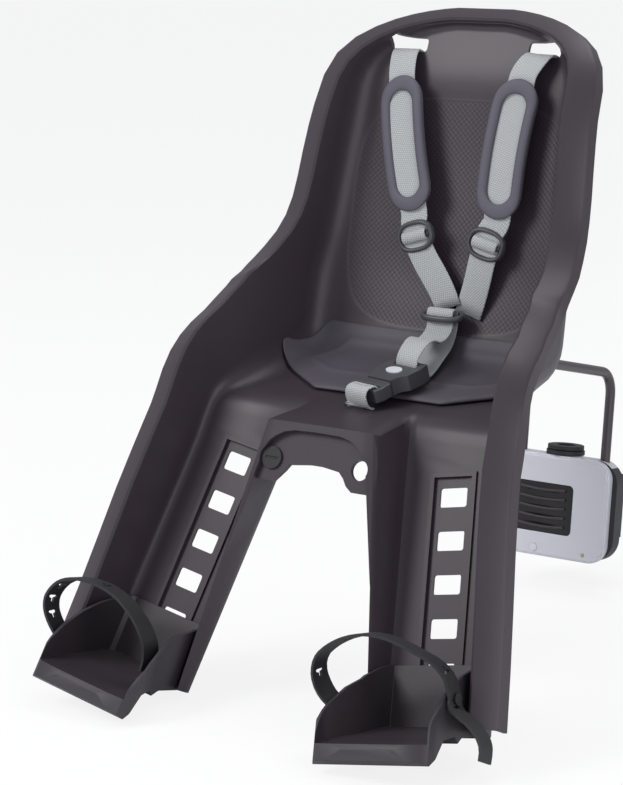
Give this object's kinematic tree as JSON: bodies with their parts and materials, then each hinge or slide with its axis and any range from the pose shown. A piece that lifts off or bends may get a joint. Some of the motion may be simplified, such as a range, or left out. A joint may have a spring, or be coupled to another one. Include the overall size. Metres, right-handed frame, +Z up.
{
  "type": "child bike seat",
  "caption": "Child bicycle seat: moulded bucket with leg shields, sliding footrests, webbing harness, and a bent-wire carrier in a quick-release tube block.",
  "frame": {"origin": "centre of the frame tube clamp's bore, halfway along it", "axes": "+Z up, the child faces -Y, +X is the child's left hand side as seen in the picture's right"},
  "size_m": [0.4583, 0.6574, 0.5743],
  "materials": {
    "shell": "satin",
    "pad_fabric": "soft",
    "shoulder_fabric": "soft",
    "webbing": "woven",
    "buckle": "satin",
    "button_white": "gloss",
    "rubber": "matte",
    "wire_steel": "satin",
    "block_dark": "satin",
    "block_silver": "satin metallic",
    "button_black": "satin",
    "zinc": "satin",
    "indicator_green": "gloss"
  },
  "bodies": {
    "block": {"block_housing": "block_dark", "block_cover": "block_silver", "cover_screw_cap": "button_white", "lock_indicator": "indicator_green", "tube_collar": "rubber", "clamp_back": "block_dark", "clamp_liner_front": "rubber", "clamp_liner_back": "rubber", "clamp_bolts": "zinc", "clamp_nuts": "zinc"},
    "button": {"release_button": "button_black"},
    "carrier": {"seat_shell": "shell", "seat_pad": "pad_fabric", "apron_cap": "block_dark", "crotch_anchor": "block_dark", "shoulder_strap_left": "webbing", "shoulder_strap_right": "webbing", "strap_keeper_left": "block_dark", "strap_keeper_right": "block_dark", "shoulder_pad_left": "shoulder_fabric", "shoulder_pad_right": "shoulder_fabric", "adjuster_left": "buckle", "adjuster_right": "buckle", "adjuster_lower": "buckle", "waist_strap": "webbing", "crotch_strap": "webbing", "buckle_socket": "buckle", "buckle_tongue": "buckle", "carrier_wire": "wire_steel", "saddle_front": "block_dark", "saddle_rear": "block_dark", "saddle_screws": "zinc"},
    "rest_left": {"footrest_left": "shell", "foot_strap_left": "rubber", "strap_rivets_left": "rubber"},
    "rest_right": {"footrest_right": "shell", "foot_strap_right": "rubber", "strap_rivets_right": "rubber"},
    "harness_button": {"buckle_button": "button_white"}
  },
  "joints": [
    {"name": "carrier_lift", "type": "slide", "parent": "block", "child": "carrier", "axis": [0, 0.1132, 0.9936], "range_m": [0, 0.07]},
    {"name": "release_press", "type": "slide", "parent": "block", "child": "button", "axis": [0, 0.9936, -0.1132], "range_m": [0, 0.003], "stiffness_N_per_m": 700},
    {"name": "footrest_slide_left", "type": "slide", "parent": "carrier", "child": "rest_left", "axis": [0.1771, 0.4221, 0.8891], "range_m": [0, 0.1476]},
    {"name": "footrest_slide_right", "type": "slide", "parent": "carrier", "child": "rest_right", "axis": [-0.1771, 0.4221, 0.8891], "range_m": [0, 0.1476]},
    {"name": "buckle_press", "type": "slide", "parent": "carrier", "child": "harness_button", "axis": [0.0739, 0.248, -0.9659], "range_m": [0, 0.0012], "stiffness_N_per_m": 300}
  ]
}
